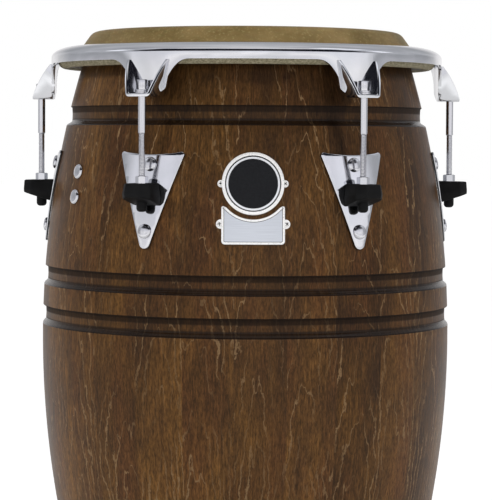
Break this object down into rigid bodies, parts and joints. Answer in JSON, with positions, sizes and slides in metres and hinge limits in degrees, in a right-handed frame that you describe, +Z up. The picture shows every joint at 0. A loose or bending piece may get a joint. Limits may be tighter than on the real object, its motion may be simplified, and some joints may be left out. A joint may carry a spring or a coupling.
{
  "type": "conga drum",
  "caption": "Tall barrel-shaped hand drum with a turned wooden shell, rawhide head, pressed metal rim and top-turned tuning rods.",
  "frame": {"origin": "centre of the foot, on the floor", "axes": "+Z up along the drum's axis, -Y towards the front with the badge"},
  "size_m": [0.442, 0.404, 0.762],
  "materials": {
    "stained_wood": "satin lacquer",
    "foot_rubber": "matt",
    "rawhide": "matt",
    "badge_metal": "gloss enamel in a bright ring",
    "name_metal": "brushed",
    "plain_steel": "zinc plated",
    "chrome": "polished",
    "rod_steel": "polished",
    "bumper_rubber": "matt"
  },
  "bodies": {
    "shell": {"shell": "stained_wood", "foot_ring": "foot_rubber", "head_skin": "rawhide", "badge": "badge_metal", "name_plate": "name_metal", "side_plate_1": "chrome", "rod_nut_1": "chrome", "bumper_1": "bumper_rubber", "plate_bolt_1_upper": "chrome", "plate_bolt_1_lower": "chrome", "backing_strap_1": "plain_steel", "side_plate_2": "chrome", "rod_nut_2": "chrome", "bumper_2": "bumper_rubber", "plate_bolt_2_upper": "chrome", "plate_bolt_2_lower": "chrome", "backing_strap_2": "plain_steel", "side_plate_3": "chrome", "rod_nut_3": "chrome", "bumper_3": "bumper_rubber", "plate_bolt_3_upper": "chrome", "plate_bolt_3_lower": "chrome", "backing_strap_3": "plain_steel", "side_plate_4": "chrome", "rod_nut_4": "chrome", "bumper_4": "bumper_rubber", "plate_bolt_4_upper": "chrome", "plate_bolt_4_lower": "chrome", "backing_strap_4": "plain_steel", "side_plate_5": "chrome", "rod_nut_5": "chrome", "bumper_5": "bumper_rubber", "plate_bolt_5_upper": "chrome", "plate_bolt_5_lower": "chrome", "backing_strap_5": "plain_steel", "side_plate_6": "chrome", "rod_nut_6": "chrome", "bumper_6": "bumper_rubber", "plate_bolt_6_upper": "chrome", "plate_bolt_6_lower": "chrome", "backing_strap_6": "plain_steel", "side_bolt_upper": "chrome", "side_nut_upper": "plain_steel", "side_bolt_lower": "chrome", "side_nut_lower": "plain_steel", "side_backing": "plain_steel"},
    "rim": {"crown_rim": "chrome", "flesh_hoop": "plain_steel", "ear_strap_1": "chrome", "ear_strap_2": "chrome", "ear_strap_3": "chrome", "ear_strap_4": "chrome", "ear_strap_5": "chrome", "ear_strap_6": "chrome"},
    "rod_1": {"tuning_rod_1": "rod_steel"},
    "rod_2": {"tuning_rod_2": "rod_steel"},
    "rod_3": {"tuning_rod_3": "rod_steel"},
    "rod_4": {"tuning_rod_4": "rod_steel"},
    "rod_5": {"tuning_rod_5": "rod_steel"},
    "rod_6": {"tuning_rod_6": "rod_steel"}
  },
  "joints": [
    {"name": "rim_tension", "type": "slide", "parent": "shell", "child": "rim", "axis": [0, 0, -1], "range_m": [-0.004, 0.006], "deforming": ["head_skin"]},
    {"name": "rod_turn_1", "type": "hinge", "parent": "rim", "child": "rod_1", "pos_m": [0.10182, -0.17636, 0.7], "axis": [0, 0, -1], "range_deg": [-1140, 1710]},
    {"name": "rod_turn_2", "type": "hinge", "parent": "rim", "child": "rod_2", "pos_m": [0.20365, 0, 0.7], "axis": [0, 0, -1], "range_deg": [-1140, 1710]},
    {"name": "rod_turn_3", "type": "hinge", "parent": "rim", "child": "rod_3", "pos_m": [0.10182, 0.17636, 0.7], "axis": [0, 0, -1], "range_deg": [-1140, 1710]},
    {"name": "rod_turn_4", "type": "hinge", "parent": "rim", "child": "rod_4", "pos_m": [-0.10182, 0.17636, 0.7], "axis": [0, 0, -1], "range_deg": [-1140, 1710]},
    {"name": "rod_turn_5", "type": "hinge", "parent": "rim", "child": "rod_5", "pos_m": [-0.20365, 0, 0.7], "axis": [0, 0, -1], "range_deg": [-1140, 1710]},
    {"name": "rod_turn_6", "type": "hinge", "parent": "rim", "child": "rod_6", "pos_m": [-0.10182, -0.17636, 0.7], "axis": [0, 0, -1], "range_deg": [-1140, 1710]}
  ],
  "couplings": [
    {"joint": "rod_turn_1", "follows": "rim_tension", "rad_per_m": 4947.4},
    {"joint": "rod_turn_2", "follows": "rim_tension", "rad_per_m": 4947.4},
    {"joint": "rod_turn_3", "follows": "rim_tension", "rad_per_m": 4947.4},
    {"joint": "rod_turn_4", "follows": "rim_tension", "rad_per_m": 4947.4},
    {"joint": "rod_turn_5", "follows": "rim_tension", "rad_per_m": 4947.4},
    {"joint": "rod_turn_6", "follows": "rim_tension", "rad_per_m": 4947.4}
  ]
}
